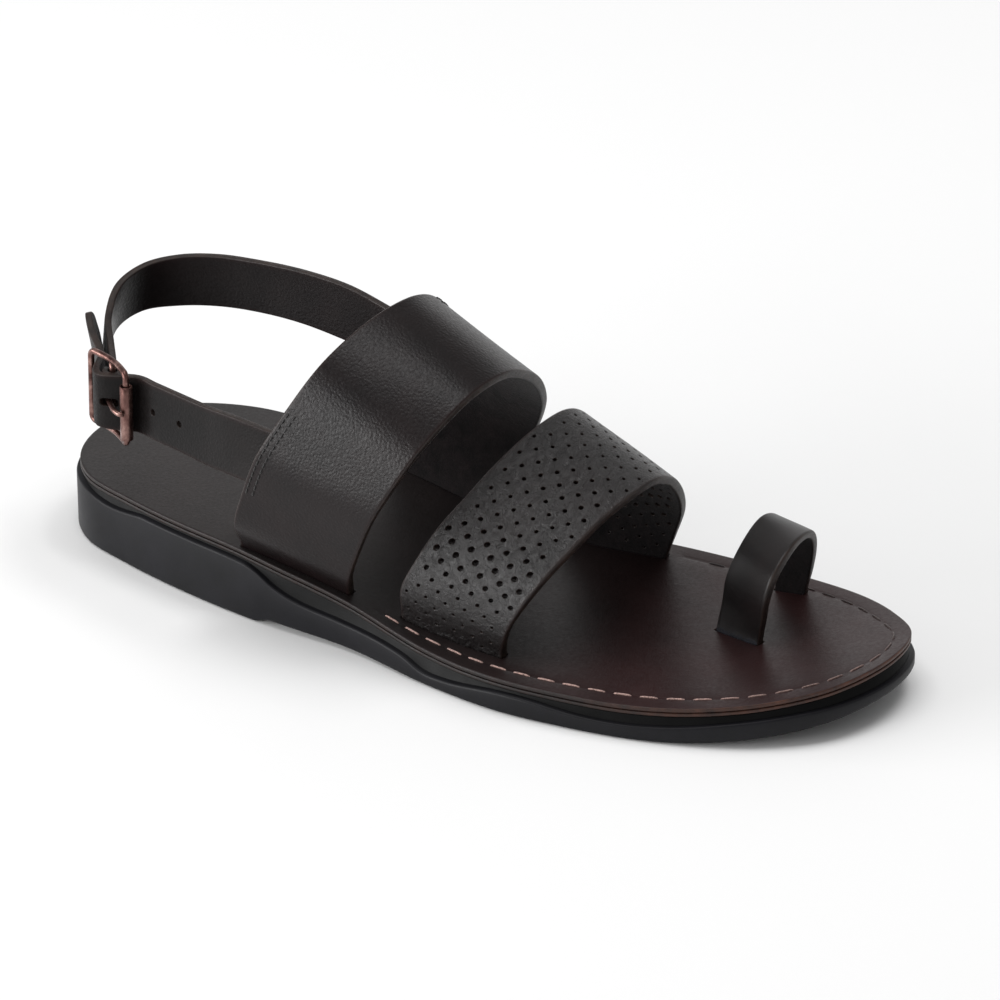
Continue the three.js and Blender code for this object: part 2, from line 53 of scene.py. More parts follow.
# Sole heights along the foot
HEEL_TOP, FORE_TOP = 22.2, 10.3
RAMP = (70, 165)
TOE = {"start": 205, "run": 68, "rise": 8.2}
TREAD = {"breast": 87, "breast_run": 5, "arch": 1.9, "arch_end": 152}
SPRING = {"start": 215, "run": 58, "rise": 7.8}
FOOTBED, MIDSOLE, SEAM = 1.4, 1.1, 0.2
WALL_OUT, WAIST_IN = 1.2, 0.6

# Strap leather
WIDE, LOOP, NARROW = 3.0, 2.6, 2.2
SEWN_IN = 0.3
SLOT_GAP = 0.25
TRIM = 1.4

# Cut edges: flat margin beside a rounded edge, and how far the burnished tint reaches in
MARGIN = 0.3
RIM_REACH = 1.1

# Places of a sheet's materials in its list
FACE, EDGE, UNDER = 0, 1, 2

# Points along a strap's curves, round the outline and round a slot
CURVE_POINTS, RING_POINTS, SLOT_POINTS = 1200, 420, 64

# Buckle
WIRE, ROLLER, PLAY, TALL, BOW, CORNER, CENTRE_AT, ROLLER_DROP = 1.0, 1.95, 0.3, 25.2, 1.5, 1.8, 9.8, 1.8
REAR_BAR, FRONT_BAR = (27.85, 17.6, 52.6), (36, 35.8, 52.2)

# Edge of the footbed seen from above: x, y
OUTLINE = [
    (0, 0.3), (17.1, 4.8), (28.5, 15.7), (35.2, 34.7), (41.4, 61.5), (45.4, 91.3), (46.3, 121.1),
    (51.3, 149.1), (53.9, 174.7), (52.1, 195.9), (48.1, 216.4), (41.1, 236), (31, 253.2),
    (16.8, 266.6), (-3, 272.9), (-20.5, 270.1), (-32.9, 257.9), (-41.7, 241.9), (-46.3, 219.9),
    (-45.9, 196.1), (-43.7, 172.2), (-38.7, 148.1), (-34.2, 120), (-34, 92), (-36.6, 62),
    (-36.3, 34.5), (-28.2, 15.3), (-16.3, 4.6),
]

# Height of the rubber's ledge along the foot: y, z
LEDGE = [
    (-4, 18.4), (12, 18), (28, 16.9), (46, 19.3), (76, 19), (86, 17.4), (94, 13.5), (102, 11),
    (118, 9), (134, 7.7), (142, 6.4), (149, 4), (158, 4), (174, 6.1), (184, 6.3), (200, 4.8),
    (214, 4.5), (230, 5.7), (246, 8.1), (262, 10.4), (278, 12),
]

# Outer face of each wide strap: rear edge x, y, z and front edge x, y, z
INSTEP = [
    (42.1, 80, 17.4, 42.3, 118.1, 11.6),
    (43, 80.3, 23, 43.1, 118.4, 17.4),
    (49.6, 82.4, 32.6, 46.6, 120.8, 24),
    (51, 86.5, 45, 50, 126.8, 37.5),
    (51, 92, 59, 50.9, 132.5, 49.5),
    (45.9, 99.1, 73, 47.5, 138.8, 61.8),
    (37.6, 107, 87.4, 40.3, 145, 73.3),
    (23, 112.7, 95.6, 27, 150.4, 82.8),
    (5, 116, 97, 10, 151.8, 83.2),
    (-12, 114, 89.5, -8.6, 149.2, 75),
    (-25.5, 107.5, 76, -22, 145.5, 65),
    (-34, 99, 57, -32.5, 140, 52),
    (-36, 92.5, 40, -36.5, 133, 38),
    (-30, 88.5, 24, -29.5, 123.5, 20.5),
    (-29, 88, 16.4, -28.5, 122.5, 10.8),
]
VAMP = [
    (41, 135, 8.6, 42.2, 170.4, 5.8),
    (41.9, 135.4, 14.5, 43.2, 170.8, 11.2),
    (44, 136.5, 24, 46.5, 174, 20.5),
    (43, 140, 32.3, 46.8, 177.7, 28.3),
    (37.5, 145.3, 43.5, 43, 182.8, 37.5),
    (31, 149.5, 50.7, 36.6, 187.1, 44.8),
    (20.5, 155.3, 60.5, 26.6, 192, 52.2),
    (8, 160.8, 68, 14, 196.2, 57.3),
    (-3, 163.5, 69.5, 2.5, 197.8, 58),
    (-14, 163.3, 64, -10, 196.5, 52.5),
    (-25, 160, 52, -23.9, 192.4, 40.8),
    (-32, 155, 38, -32.5, 188, 30),
    (-34.5, 150, 25, -37.3, 182.5, 18.5),
    (-32.5, 146.5, 13.4, -38, 179.6, 11),
    (-32, 146, 6.9, -37.4, 179, 5.8),
]
TOE_LOOP = [
    (-3.2, 214.6, 6, 0.5, 230.2, 6.9),
    (-4.2, 214.6, 11.4, -0.8, 230.6, 12.2),
    (-5.3, 215.4, 19, 0.3, 232, 19),
    (-6, 216.2, 27, 1, 233.5, 27.5),
    (-9.5, 217.4, 34, -2, 235, 36),
    (-15, 218.4, 39.2, -9.5, 235.6, 40.6),
    (-21.5, 219.2, 41.5, -18, 235.2, 41),
    (-28.5, 219.4, 39.3, -25.4, 234.2, 38.8),
    (-34, 219, 33.4, -31.2, 232.7, 34),
    (-36.8, 218.4, 25.5, -34.8, 231, 27.4),
    (-37.4, 217.6, 17.5, -37, 228.8, 19.5),
    (-36.8, 217, 11.2, -38, 226.6, 11.8),
    (-36.6, 216.8, 6, -38, 226.2, 6.6),
]

# Middle line of the narrow straps: x, y, z, half width, then how far the upper edge leans in x and y
HEEL_STRAP = [
    (-32.3, 84, 61.9, 9, 0.6, 0),
    (-32.6, 70, 64.6, 9.2, 0, 0),
    (-32.8, 54, 65.9, 8.9, 0.2, 0),
    (-32.6, 38, 65.6, 8.8, 0.7, 0),
    (-30.6, 24, 65, 8.8, 0.8, 0.1),
    (-26, 12.8, 64.1, 8.7, 0.7, 0.7),
    (-18.5, 4.6, 62.8, 8.3, 0.6, 1.4),
    (-8.5, 1.7, 59.8, 8, 0, 1.3),
    (4.2, 6.5, 54.4, 8.5, -0.5, 0.7),
    (14, 14.6, 52.2, 8.8, -0.2, 0.3),
    (24, 22.8, 52.2, 8.9, 0, 0),
    (28.7, 26.2, 52.3, 8.9, 0, 0),
]
BILLET = [
    (43.5, 78, 55.2, 9.4, -0.6, 0),
    (40.6, 68, 54.2, 9.4, -0.3, 0),
    (37.6, 56, 54.1, 9.3, 0, 0),
    (35.2, 46, 53.9, 9.3, 0, 0),
    (32.2, 37.5, 53.1, 9.2, 0, 0),
    (35, 25.1, 52.8, 8.8, 0, 0),
    (24.6, 19.1, 53.5, 8.7, 0.1, 0),
    (16.3, 11.3, 56.4, 8.8, 1, -0.9),
    (11.3, 7.3, 60.1, 7.4, 1.2, -1.2),
    (9, 5.5, 62.1, 4.6, 0.8, -0.8),
]
BILLET_HOLES = (0.41, 0.503, 0.75)

# Sewn ends under the instep strap: stretch of its arch, heights of the two edges, places across it
INNER_TAB = {"span": (0.56, 0.95), "heights": (52.6, 70.6), "across": (0.36, 0.2, 0.03)}
OUTER_TAB = {"span": (0.1, 0.5), "heights": (46.4, 65.6), "across": (0.36, 0.2, 0.04)}

# Prong: how far along the buckle from its rear bar, high from its middle, out from its bars
PRONG = [
    (CENTRE_AT + 0.4, 0, 0.6), (CENTRE_AT + 3, 0, 1.5), (CENTRE_AT + 6, 0, 2.6),
    (18.55, 0, 3.3), (20.55, -0.2, 3.1), (22.15, -0.3, 2.2),
]


# Curves and heights

def catmull(points, t, closed=False):
    """Points of a centripetal Catmull-Rom curve, t from 0 to 1 spread evenly over its spans."""
    points = np.asarray(points, float)
    spans = len(points) if closed else len(points) - 1
    if closed:
        padded = np.vstack([points[-1], points, points[:2]])
    else:
        padded = np.vstack([2 * points[0] - points[1], points, 2 * points[-1] - points[-2]])
    place = np.clip(np.asarray(t, float), 0, 1) * spans
    span = np.minimum(place.astype(int), spans - 1)
    w = (place - span)[:, None]
    p0, p1, p2, p3 = (padded[span + k] for k in range(4))
    d0, d1, d2 = (
        np.sqrt(np.linalg.norm(b - a, axis=1))[:, None] for a, b in ((p0, p1), (p1, p2), (p2, p3))
    )
    leave = ((p1 - p0) / d0 - (p2 - p0) / (d0 + d1) + (p2 - p1) / d1) * d1
    arrive = ((p2 - p1) / d1 - (p3 - p1) / (d1 + d2) + (p3 - p2) / d2) * d1
    rise = p2 - p1
    return p1 + leave * w + (3 * rise - 2 * leave - arrive) * w**2 + (leave + arrive - 2 * rise) * w**3


def run_along(points):
    """Distance along a row of points."""
    return np.concatenate([[0], np.cumsum(np.linalg.norm(np.diff(points, axis=0), axis=1))])


def evenly(points, count, closed=False):
    """The same line with points an equal distance apart."""
    line = np.vstack([points, points[:1]]) if closed else np.asarray(points)
    run = run_along(line)
    at = np.linspace(0, run[-1], count, endpoint=not closed)
    return np.column_stack([np.interp(at, run, line[:, k]) for k in range(line.shape[1])])


def smoothstep(x, low, high):
    t = np.clip((x - low) / (high - low), 0, 1)
    return t * t * (3 - 2 * t)


def bump(x, centre, spread):
    return np.exp(-(((x - centre) / spread) ** 2))


def footbed_top(y):
    toe = np.maximum(0, (y - TOE["start"]) / TOE["run"])
    return HEEL_TOP + (FORE_TOP - HEEL_TOP) * smoothstep(y, *RAMP) + TOE["rise"] * toe**2


def tread_height(y):
    rise = np.clip((y - TREAD["breast"]) / TREAD["breast_run"], 0, 1)
    arch_run = TREAD["arch_end"] - TREAD["breast"] - TREAD["breast_run"]
    fall = np.clip((TREAD["arch_end"] - y) / arch_run, 0, 1)
    toe = np.maximum(0, (y - SPRING["start"]) / SPRING["run"])
    return TREAD["arch"] * np.minimum(rise, fall) + SPRING["rise"] * toe**2


def rubber_top(y):
    return footbed_top(y) - FOOTBED - MIDSOLE - 2 * SEAM


def ledge_height(y):
    rows = np.array(LEDGE)
    fine = catmull(rows, np.linspace(0, 1, 400))
    return np.minimum(np.interp(y, fine[:, 0], fine[:, 1]), rubber_top(y))


outline_curve = catmull(OUTLINE, np.linspace(0, 1, 2001)[:-1], closed=True)
OUTLINE_RING = evenly(outline_curve, RING_POINTS, closed=True)
node_low, node_high = (np.array(corner) * 1000 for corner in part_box("footbed"))
ring_middle = (OUTLINE_RING.min(axis=0) + OUTLINE_RING.max(axis=0)) / 2
ORIGIN = np.append(ring_middle - ((node_low + node_high) / 2)[:2], 0)


def metres(points):
    """Millimetres of the tables to metres of the frame."""
    return (np.asarray(points, float) - ORIGIN) * 0.001


# Mesh building

def make_piece(name, points, faces, materials, node, slot, shade=None, flat=None, tint=None):
    """A smooth mesh piece that stands for a node of the frame; its points are in millimetres."""
    mesh = bpy.data.meshes.new(name)
    mesh.from_pydata(metres(points).tolist(), [], [list(map(int, face)) for face in faces])
    for material in materials:
        mesh.materials.append(material)
    if shade is not None:
        mesh.polygons.foreach_set("material_index", np.asarray(shade, dtype=np.int32))
    mesh.polygons.foreach_set("use_smooth", np.ones(len(mesh.polygons), dtype=bool))
    if flat is not None:
        corner = np.empty(len(mesh.loops), dtype=np.int32)
        mesh.loops.foreach_get("vertex_index", corner)
        layer = mesh.uv_layers.new(name="flat")
        layer.data.foreach_set("uv", (np.asarray(flat)[corner] * 0.001).astype(np.float32).ravel())
    if tint is not None:
        layer = mesh.attributes.new("tint", "FLOAT", "POINT")
        layer.data.foreach_set("value", np.asarray(tint, dtype=np.float32))
    mesh.update()
    piece = bpy.data.objects.new(name, mesh)
    bpy.context.scene.collection.objects.link(piece)
    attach(piece, "root")
    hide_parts(node)
    return piece


def shifted(loop, amount):
    """A closed loop, anticlockwise, pushed outwards."""
    step = np.roll(loop, -1, axis=0) - np.roll(loop, 1, axis=0)
    step /= np.linalg.norm(step, axis=1)[:, None]
    return loop + np.column_stack([step[:, 1], -step[:, 0]]) * amount


def inside(points, loop):
    """Which points lie within a closed loop."""
    x, y = points[:, 0:1], points[:, 1:2]
    x0, y0 = loop[:, 0], loop[:, 1]
    x1, y1 = np.roll(x0, -1), np.roll(y0, -1)
    rise = np.where(y1 == y0, 1e-12, y1 - y0)
    hits = ((y0 > y) != (y1 > y)) & (x < x0 + (y - y0) * (x1 - x0) / rise)
    return hits.sum(axis=1) % 2 == 1


def nearest(points, others):
    """Distance from each point to the nearest of the others."""
    result = np.empty(len(points))
    for start in range(0, len(points), 400):
        block = points[start : start + 400]
        gap = np.linalg.norm(block[:, None] - others[None], axis=2)
        result[start : start + 400] = gap.min(axis=1)
    return result


def core_mesh(rim_loop, hole_loops, step, extra):
    """Triangles that fill a flat loop round its holes, over a grid of points."""
    low, high = rim_loop.min(axis=0), rim_loop.max(axis=0)
    columns = np.arange(low[0] + step / 2, high[0], step)
    rows = np.arange(low[1] + step / 2, high[1], step)
    grid = np.array(np.meshgrid(columns, rows)).reshape(2, -1).T
    edges = np.vstack([rim_loop, *hole_loops])
    if len(extra):
        grid = grid[nearest(grid, extra) > 0.6 * step]
        grid = np.vstack([grid, extra])
    grid = grid[inside(grid, rim_loop)]
    grid = grid[nearest(grid, edges) > 0.3 * step]
    for hole in hole_loops:
        close = np.linalg.norm(grid - hole.mean(axis=0), axis=1) < np.ptp(hole, axis=0).max()
        kept = np.ones(len(grid), dtype=bool)
        kept[close] = ~inside(grid[close], hole)
        grid = grid[kept]
    points = np.vstack([edges, grid])
    links, start = [], 0
    for loop in (rim_loop, *hole_loops):
        links += [(start + k, start + (k + 1) % len(loop)) for k in range(len(loop))]
        start += len(loop)
    vectors = [Vector(point) for point in points.tolist()]
    result = delaunay_2d_cdt(vectors, links, [], 0, 1e-7, True)
    found, triangles, origin = result[0], np.array(result[2]), result[3]
    name = np.array([group[0] for group in origin])
    assert len(found) == len(points)
    triangles = name[triangles]
    middle = points[triangles].mean(axis=1)
    kept = inside(middle, rim_loop)
    owner = np.full(len(points), -1)
    start = len(rim_loop)
    for number, hole in enumerate(hole_loops):
        owner[start : start + len(hole)] = number
        start += len(hole)
    same = (owner[triangles[:, 0]] >= 0) & (np.ptp(owner[triangles], axis=1) == 0)
    for index in np.flatnonzero(same & kept):
        hole = hole_loops[owner[triangles[index, 0]]]
        kept[index] = not inside(middle[index : index + 1], hole)[0]
    return points, triangles[kept]


def plate(name, outline, holes, levels, hole_levels, place, step, extra=(), **piece):
    """A sheet cut to an outline with holes. Levels run from its face to its underside: how far out
    of the outline, how deep, and the material of the band below. place puts a flat point in space.
    """
    loops = [shifted(outline, levels[0][0])]
    loops += [shifted(hole, hole_levels[0][0]) for hole in holes]
    flat, triangles = core_mesh(loops[0], loops[1:], step, np.asarray(extra).reshape(-1, 2))
    count = len(flat)
    points = [place(flat, levels[0][1]), place(flat, levels[-1][1])]
    flats = [flat, flat]
    faces = [*triangles.tolist(), *(triangles[:, ::-1] + count).tolist()]
    shade = [FACE] * len(triangles) + [UNDER] * len(triangles)
    total, start = 2 * count, 0
    for number, loop in enumerate([outline, *holes]):
        rows = levels if number == 0 else hole_levels
        top = np.arange(start, start + len(loop))
        start += len(loop)
        rings = [top]
        for out, depth, _ in rows[1:-1]:
            ring = shifted(loop, out)
            points.append(place(ring, depth))
            flats.append(ring)
            rings.append(np.arange(total, total + len(loop)))
            total += len(loop)
        rings.append(top + count)
        for upper, lower, row in zip(rings, rings[1:], rows):
            band = np.column_stack([upper, lower, np.roll(lower, -1), np.roll(upper, -1)])
            faces += (band if number == 0 else band[:, ::-1]).tolist()
            shade += [row[2]] * len(loop)
    points, flats = np.vstack(points), np.vstack(flats)
    corners = points[[face[:3] for face in faces]]
    volume = np.einsum("ij,ij->i", corners[:, 0], np.cross(corners[:, 1], corners[:, 2])).sum()
    if volume < 0:
        faces = [face[::-1] for face in faces]
    tint = np.exp(-nearest(flats, outline) / RIM_REACH)
    return make_piece(name, points, faces, shade=shade, flat=flats, tint=tint, **piece)


def rounded(thickness, radius):
    """Levels of a sheet with rounded edges inside a narrow flat margin."""
    turn = np.linspace(0, math.pi / 2, 4)
    upper = [(-radius - MARGIN, 0)]
    upper += [(radius * (math.sin(a) - 1), radius * (1 - math.cos(a))) for a in turn]
    lower = [(out, thickness - depth) for out, depth in reversed(upper)]
    bands = [FACE] * 2 + [EDGE] * 5 + [UNDER] * 3
    return [(out, depth, band) for (out, depth), band in zip(upper + lower, bands)]


def punched(thickness, radius):
    """Levels of a hole with slightly rounded lips inside a narrow flat margin."""
    upper = [(radius + MARGIN, 0), (radius, 0), (0.3 * radius, 0.3 * radius), (0, radius)]
    lower = [(out, thickness - depth) for out, depth in reversed(upper)]
    bands = [FACE] * 2 + [EDGE] * 4 + [UNDER] * 2
    return [(out, depth, band) for (out, depth), band in zip(upper + lower, bands)]


def circle(centre, radius, sides=12):
    turn = np.linspace(0, 2 * math.pi, sides, endpoint=False)
    return np.asarray(centre) + radius * np.column_stack([np.cos(turn), np.sin(turn)])


def long_hole(centre, length, radius, sides=16):
    """A hole with two round ends, drawn out along a strap."""
    loop = circle((0, 0), radius, sides)
    loop[:, 0] += np.sign(np.round(loop[:, 0], 6)) * (length / 2 - radius)
    return loop + np.asarray(centre)


def rectangle(low, high, spacing, corner=0.0):
    """A closed loop round a strip, the corners of its far end rounded off by a radius."""
    (x0, y0), (x1, y1) = low, high
    tip = [(x1, y0), (x1, y1)]
    if corner:
        turn = np.linspace(0, math.pi / 2, 8)
        tip = [(x1 - corner * (1 - math.sin(a)), y0 + corner * (1 - math.cos(a))) for a in turn]
        tip += [(x1 - corner * (1 - math.cos(a)), y1 - corner * (1 - math.sin(a))) for a in turn]
    corners = [(x0, y0), *tip, (x0, y1)]
    loop = []
    for a, b in zip(corners, corners[1:] + corners[:1]):
        a, b = np.array(a, float), np.array(b, float)
        count = max(1, int(round(np.linalg.norm(b - a) / spacing)))
        loop += [a + (b - a) * k / count for k in range(count)]
    return np.array(loop)


def tube_faces(rings, sides, closed):
    """Faces between neighbouring rings of points."""
    faces = []
    for i in range(rings if closed else rings - 1):
        here, there = i * sides, ((i + 1) % rings) * sides
        for j in range(sides):
            k = (j + 1) % sides
            faces.append((here + j, here + k, there + k, there + j))
    return faces


def sweep(path, radii, sides, up, closed=False):
    """Points and faces of a round bar along a path; up is a direction roughly square to it."""
    path = np.asarray(path, float)
    radii = np.broadcast_to(radii, len(path))
    if closed:
        along = np.roll(path, -1, axis=0) - np.roll(path, 1, axis=0)
    else:
        along = np.gradient(path, axis=0)
    along /= np.linalg.norm(along, axis=1)[:, None]
    side = np.cross(along, up)
    side /= np.linalg.norm(side, axis=1)[:, None]
    out = np.cross(side, along)
    turn = np.linspace(0, 2 * math.pi, sides, endpoint=False)
    ring = np.cos(turn)[:, None, None] * side + np.sin(turn)[:, None, None] * out
    points = (path + ring * radii[None, :, None]).transpose(1, 0, 2).reshape(-1, 3)
    faces = tube_faces(len(path), sides, closed)
    if not closed:
        faces.append(tuple(range(sides))[::-1])
        faces.append(tuple((len(path) - 1) * sides + k for k in range(sides)))
    return points, faces


def gathered(parts):
    """Several point and face lists as one."""
    points, faces, start = [], [], 0
    for part_points, part_faces in parts:
        points.append(part_points)
        faces += [tuple(start + k for k in face) for face in part_faces]
        start += len(part_points)
    return np.vstack(points), faces


# Straps in space

class Strap:
    """The face of a strap between two edges; flat points are millimetres along and across it."""

    def __init__(self, low, high, outer=0.0, relief=None):
        t = np.linspace(0, 1, CURVE_POINTS)
        self.t = t
        self.low, self.high = catmull(low, t), catmull(high, t)
        self.run = run_along((self.low + self.high) / 2)
        self.length = self.run[-1]
        self.width = np.linalg.norm(self.high - self.low, axis=1).mean()
        self.low_step, self.high_step = np.gradient(self.low, axis=0), np.gradient(self.high, axis=0)
        self.outer = outer
        self.relief = relief

    def read(self, table, along):
        return np.column_stack([np.interp(along, self.run, table[:, k]) for k in range(3)])

    def place(self, flat, depth):
        along, across = flat[:, 0], flat[:, 1:2] / self.width
        low, high = self.read(self.low, along), self.read(self.high, along)
        step = self.read(self.low_step, along) * (1 - across) + self.read(self.high_step, along) * across
        facing = np.cross(high - low, step)
        facing /= np.linalg.norm(facing, axis=1)[:, None]
        out = self.outer - depth
        if self.relief is not None:
            out = out + self.relief(flat[:, 0], flat[:, 1])
        return low * (1 - across) + high * across + facing * np.reshape(out, (-1, 1))

    def at(self, t):
        return float(np.interp(t, self.t, self.run))


def seat(strap, height, across, depth, span):
    """The point under a strap where its face reaches a height, on one stretch of its arch."""
    at = np.linspace(*(strap.at(t) for t in span), 600)
    flat = np.column_stack([at, np.full(600, across * strap.width)])
    face = strap.place(flat, 0.0)
    best = int(np.argmin(abs(face[:, 2] - height)))
    return strap.place(flat[best : best + 1], depth)[0]


def narrow_strap(instep, tab, rows):
    """A narrow strap from its sewn end under the instep strap over the rows of its table."""
    depth = WIDE + NARROW / 2 - SEWN_IN
    low, high = (
        [seat(instep, height, across, depth, tab["span"]) for across in tab["across"]]
        for height in tab["heights"]
    )
    rows = np.array(rows, float)
    lean = np.column_stack([rows[:, 4], rows[:, 5], rows[:, 3]])
    low, high = np.vstack([low, rows[:, :3] - lean]), np.vstack([high, rows[:, :3] + lean])
    return Strap(low, high, outer=NARROW / 2)


def wide_strap(rows, relief=None):
    rows = np.array(rows, float)
    return Strap(rows[:, :3], rows[:, 3:], relief=relief)


def slot_loop(strap, thickness, height, end):
    """Outline of the slot that a strap's end needs in a layer of the sole at a height."""
    reach = np.linspace(0, 16, 80)
    along = reach if end == 0 else strap.length - reach
    sides = []
    for depth in (-SLOT_GAP, thickness + SLOT_GAP):
        line = []
        for across in np.linspace(-SLOT_GAP, strap.width + SLOT_GAP, 20):
            path = strap.place(np.column_stack([along, np.full(80, across)]), depth)
            k = int(np.argmax(path[:, 2] > height(path[:, 1])))
            line.append(path[k, :2])
        sides.append(np.array(line))
    loop = evenly(np.vstack([sides[0], sides[1][::-1]]), SLOT_POINTS, closed=True)
    twice_area = np.sum(loop[:, 0] * np.roll(loop[:, 1], -1) - np.roll(loop[:, 0], -1) * loop[:, 1])
    return loop if twice_area > 0 else loop[::-1]


# Materials

def new_material(name, roughness=0.5, **sockets):
    material = bpy.data.materials.new(name)
    material.use_nodes = True
    shader = material.node_tree.nodes["Principled BSDF"]
    shader.inputs["Roughness"].default_value = roughness
    for socket, value in sockets.items():
        shader.inputs[socket.replace("_", " ").title().replace("Ior", "IOR")].default_value = value
    return material, shader


def add_node(material, kind, inputs=(), **settings):
    node = material.node_tree.nodes.new(kind)
    for key, value in settings.items():
        setattr(node, key, value)
    for key, value in dict(inputs).items():
        if hasattr(value, "is_output"):
            material.node_tree.links.new(value, node.inputs[key])
        else:
            node.inputs[key].default_value = value
    return node


def noise(material, where, scale, detail=3.0, rough=0.5, distortion=0.0):
    inputs = {"Vector": where, "Scale": scale, "Detail": detail, "Roughness": rough}
    return add_node(material, "ShaderNodeTexNoise", {**inputs, "Distortion": distortion}).outputs["Fac"]


def textured(name, roughness=0.5, **sockets):
    """A new material, its shader and the place on the object, in metres."""
    material, shader = new_material(name, roughness, **sockets)
    return material, shader, add_node(material, "ShaderNodeTexCoord").outputs["Object"]


def ramp(material, value, stops):
    node = add_node(material, "ShaderNodeValToRGB", {"Fac": value})
    elements = node.color_ramp.elements
    for element, (position, color) in zip(elements, (stops[0], stops[-1])):
        element.position = position
        element.color = (*color, 1)
    for position, color in stops[1:-1]:
        elements.new(position).color = (*color, 1)
    return node.outputs["Color"]


def grey(value):
    return (value, value, value)


def blend_color(material, share, first, second, mode="MIX"):
    node = add_node(material, "ShaderNodeMix", data_type="RGBA", blend_type=mode)
    for key, value in ((0, share), (6, first), (7, second)):
        if hasattr(value, "is_output"):
            material.node_tree.links.new(value, node.inputs[key])
        elif key == 0:
            node.inputs[key].default_value = value
        else:
            node.inputs[key].default_value = (*value, 1)
    return node.outputs[2]


def add_bump(material, shader, layers):
    """Bumps stacked on each other: height, strength and depth in metres."""
    normal = None
    for height, strength, distance in layers:
        inputs = {"Height": height, "Strength": strength, "Distance": distance}
        if normal is not None:
            inputs["Normal"] = normal
        normal = add_node(material, "ShaderNodeBump", inputs).outputs["Normal"]
    material.node_tree.links.new(normal, shader.inputs["Normal"])


def link(material, output, shader, socket):
    material.node_tree.links.new(output, shader.inputs[socket])


WARM_RIM = (0.02, 0.009, 0.008)


def leather(name, dark, light, rough, gloss, crinkle=0.0):
    """Smooth waxed leather: fine pores, cloudy colour, warm burnished rim."""
    material, shader, where = textured(name, specular_ior_level=gloss)
    rim = add_node(material, "ShaderNodeAttribute", attribute_name="tint").outputs["Fac"]
    cloud = noise(material, where, 38, 4, 0.6)
    color = ramp(material, cloud, [(0.35, dark), (0.7, light)])
    share = ramp(material, rim, [(0.25, grey(0)), (0.95, grey(0.7))])
    color = blend_color(material, share, color, WARM_RIM)
    link(material, color, shader, "Base Color")
    speck = noise(material, where, 1250, 3, 0.65)
    spread = ramp(material, speck, [(0.3, grey(rough - 0.08)), (0.7, grey(rough + 0.12))])
    link(material, spread, shader, "Roughness")
    pores = add_node(
        material, "ShaderNodeTexVoronoi", {"Vector": where, "Scale": 1300}, feature="SMOOTH_F1"
    ).outputs["Distance"]
    layers = [(pores, 0.4, 0.0002), (speck, 0.45, 0.00018)]
    if crinkle:
        layers.append((noise(material, where, 420, 6, 0.7, 1.3), crinkle, 0.001))
    add_bump(material, shader, layers)
    return material


def smooth_range(material, limits):
    node = add_node(material, "ShaderNodeMapRange", limits, interpolation_type="SMOOTHSTEP")
    return node.outputs["Result"]


def towards_toe(material, where, start, end):
    """A share that grows from 0 to 1 between two places along the shoe, in metres."""
    along = add_node(material, "ShaderNodeSeparateXYZ", {"Vector": where}).outputs["Y"]
    limits = {"Value": along, "From Min": start, "From Max": end}
    return smooth_range(material, limits)


def insole(name, heel, toe, rough):
    """Footbed leather, redder towards the toe."""
    material, shader, where = textured(name, specular_ior_level=0.33)
    share = towards_toe(material, where, -0.01, 0.085)
    cloud = noise(material, where, 30, 5, 0.6)
    mottle = ramp(material, cloud, [(0.3, grey(0.62)), (0.72, grey(1.25))])
    color = blend_color(material, share, heel, toe)
    link(material, blend_color(material, 1.0, color, mottle, "MULTIPLY"), shader, "Base Color")
    speck = noise(material, where, 900, 4, 0.7)
    spread = ramp(material, speck, [(0.3, grey(rough - 0.06)), (0.7, grey(rough + 0.1))])
    link(material, spread, shader, "Roughness")
    fold = noise(material, where, 190, 5, 0.62, 0.7)
    add_bump(material, shader, [(speck, 0.3, 0.00015), (fold, 0.12, 0.0006)])
    return material


def raw_edge(name, dark, light, toe=None):
    """Cut and burnished leather edge, with fibres along it. Given a toe colour, it turns lighter and tanner
    towards the toe: a painted highlight where the edge curves up into the light.
    """
    material, shader, where = textured(name, specular_ior_level=0.4)
    cloud = noise(material, where, 260, 4, 0.6)
    color = ramp(material, cloud, [(0.3, dark), (0.75, light)])
    # Painted highlight: lighter, tanner colour towards the toe, where the edge curves up and catches the
    # light
    if toe is not None:
        share = towards_toe(material, where, 0.045, 0.125)
        color = blend_color(material, share, color, ramp(material, cloud, [(0.3, light), (0.75, toe)]))
    link(material, color, shader, "Base Color")
    fibre = noise(material, where, 1800, 4, 0.7)
    spread = ramp(material, fibre, [(0.3, grey(0.36)), (0.7, grey(0.58))])
    link(material, spread, shader, "Roughness")
    add_bump(material, shader, [(fibre, 0.5, 0.0002), (cloud, 0.3, 0.0004)])
    return material


def suede(name, dark, light):
    """Flesh side of the leather: matte, napped and mottled."""
    sheen = {"sheen_weight": 0.12, "sheen_roughness": 0.5}
    material, shader, where = textured(name, specular_ior_level=0.15, **sheen)
    mottle = noise(material, where, 210, 6, 0.72, 0.6)
    link(material, ramp(material, mottle, [(0.32, dark), (0.68, light)]), shader, "Base Color")
    nap = noise(material, where, 1300, 5, 0.8)
    link(material, ramp(material, nap, [(0.3, grey(0.75)), (0.7, grey(0.95))]), shader, "Roughness")
    add_bump(material, shader, [(nap, 0.8, 0.0003), (mottle, 0.4, 0.0005)])
    return material


